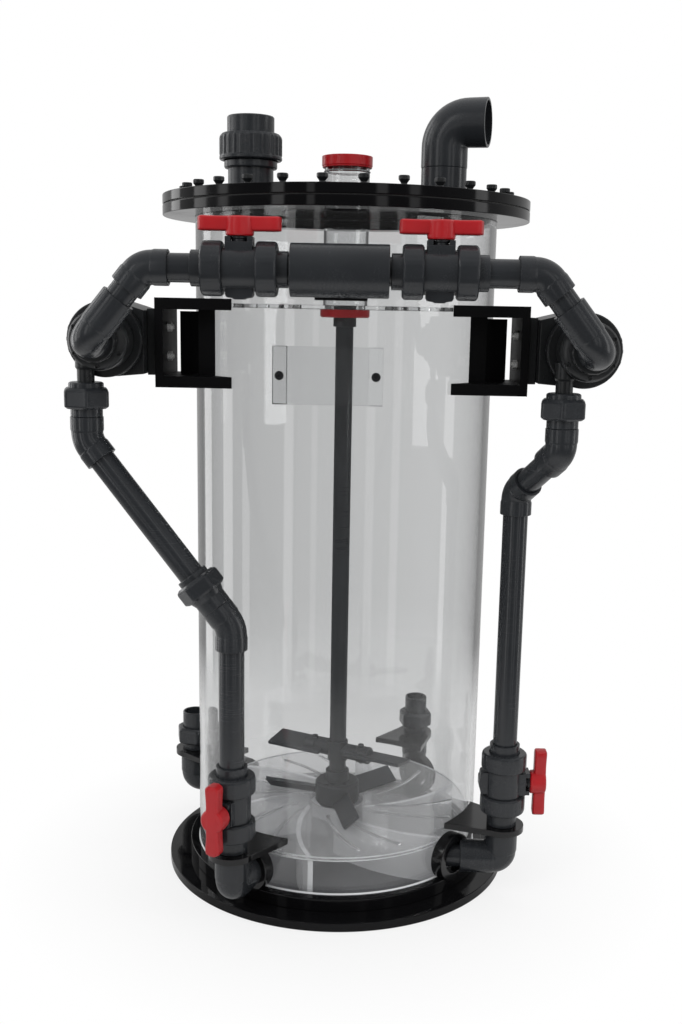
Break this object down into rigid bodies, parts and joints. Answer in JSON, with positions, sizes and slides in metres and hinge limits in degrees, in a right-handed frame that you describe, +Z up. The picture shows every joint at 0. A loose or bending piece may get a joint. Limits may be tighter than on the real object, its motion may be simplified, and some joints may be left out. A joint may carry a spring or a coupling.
{
  "type": "bench bioreactor",
  "caption": "Clear column vessel with a black lid and base, an inner stirrer and an outer recirculation header with pumps and ball valves.",
  "frame": {"origin": "centre of the base plate's underside", "axes": "+Z up along the column's axis, -Y towards the header at the front, +X to the right seen from the front"},
  "size_m": [0.6747, 0.577, 1.059],
  "materials": {
    "clear_acrylic": "polished clear acrylic",
    "black_acrylic": "polished black acrylic",
    "gasket_rubber": "smooth rubber sheet",
    "black_plastic": "moulded satin black",
    "red_plastic": "moulded red",
    "shaft_grey": "turned grey PVC",
    "blade_grey": "cut grey PVC sheet",
    "stainless": "turned stainless steel",
    "ball_grey": "polished grey PVC",
    "grey_upvc": "extruded and moulded dark grey PVC"
  },
  "bodies": {
    "column": {"base_plate": "black_acrylic", "base_ring": "black_acrylic", "vessel_tube": "clear_acrylic", "top_flange": "black_acrylic", "lid_gasket": "gasket_rubber", "lid": "black_acrylic", "lid_thumbscrews": "black_plastic", "bearing_plate": "clear_acrylic", "neck_tube": "clear_acrylic", "bearing_collar": "red_plastic", "false_floor": "clear_acrylic", "plenum_vanes": "clear_acrylic", "nameplate": "clear_acrylic", "nameplate_strips": "clear_acrylic", "nameplate_screws": "black_plastic", "outlet_pipe": "grey_upvc", "outlet_union_body": "grey_upvc", "outlet_union_nut": "grey_upvc", "vent_pipe": "grey_upvc", "vent_elbow": "grey_upvc", "header_saddle": "black_acrylic", "header_tee": "grey_upvc", "header_pipes": "grey_upvc", "left_header_valve_body": "grey_upvc", "right_header_valve_body": "grey_upvc", "left_lower_valve_body": "grey_upvc", "right_lower_valve_body": "grey_upvc", "valve_unions": "grey_upvc", "suction_elbows": "grey_upvc", "left_pump_housing": "black_plastic", "left_pump_motor": "black_plastic", "right_pump_housing": "black_plastic", "right_pump_motor": "black_plastic", "left_bracket": "black_acrylic", "right_bracket": "black_acrylic", "bracket_bolts": "stainless", "left_discharge_fittings": "grey_upvc", "right_discharge_fittings": "grey_upvc", "lower_pipes": "grey_upvc", "port_elbows": "grey_upvc", "port_rings": "black_acrylic", "gusset_plates": "black_acrylic", "rear_unions": "grey_upvc"},
    "left_header_valve": {"left_header_valve_ball": "ball_grey", "left_header_valve_handle": "red_plastic"},
    "right_header_valve": {"right_header_valve_ball": "ball_grey", "right_header_valve_handle": "red_plastic"},
    "left_lower_valve": {"left_lower_valve_ball": "ball_grey", "left_lower_valve_handle": "red_plastic"},
    "right_lower_valve": {"right_lower_valve_ball": "ball_grey", "right_lower_valve_handle": "red_plastic"},
    "stirrer": {"stirrer_shaft": "shaft_grey", "upper_hub": "shaft_grey", "upper_blades": "blade_grey", "lower_hub": "shaft_grey", "lower_blades": "blade_grey", "blade_screws": "stainless"},
    "left_impeller": {"left_pump_impeller": "blade_grey"},
    "right_impeller": {"right_pump_impeller": "blade_grey"},
    "cap": {"neck_cap": "red_plastic"}
  },
  "joints": [
    {"name": "left_header_valve_turn", "type": "hinge", "parent": "column", "child": "left_header_valve", "pos_m": [-0.111, -0.29, 0.828], "axis": [0, 0, 1], "range_deg": [0, 90]},
    {"name": "right_header_valve_turn", "type": "hinge", "parent": "column", "child": "right_header_valve", "pos_m": [0.111, -0.29, 0.828], "axis": [0, 0, 1], "range_deg": [0, 90]},
    {"name": "left_lower_valve_turn", "type": "hinge", "parent": "column", "child": "left_lower_valve", "pos_m": [-0.12852, -0.22716, 0.165], "axis": [-0.342, -0.9397, 0], "range_deg": [0, 90]},
    {"name": "right_lower_valve_turn", "type": "hinge", "parent": "column", "child": "right_lower_valve", "pos_m": [0.22716, -0.12852, 0.165], "axis": [1, 0, 0], "range_deg": [0, 90]},
    {"name": "stirrer_spin", "type": "hinge", "parent": "column", "child": "stirrer", "pos_m": [0, 0, 0.4], "axis": [0, 0, 1], "continuous": true},
    {"name": "left_impeller_spin", "type": "hinge", "parent": "column", "child": "left_impeller", "pos_m": [-0.286, -0.2, 0.745], "axis": [0, 1, 0], "continuous": true},
    {"name": "right_impeller_spin", "type": "hinge", "parent": "column", "child": "right_impeller", "pos_m": [0.294, -0.2, 0.7425], "axis": [0, 1, 0], "continuous": true},
    {"name": "cap_lift", "type": "slide", "parent": "column", "child": "cap", "axis": [0, 0, 1], "range_m": [0, 0.05]}
  ]
}
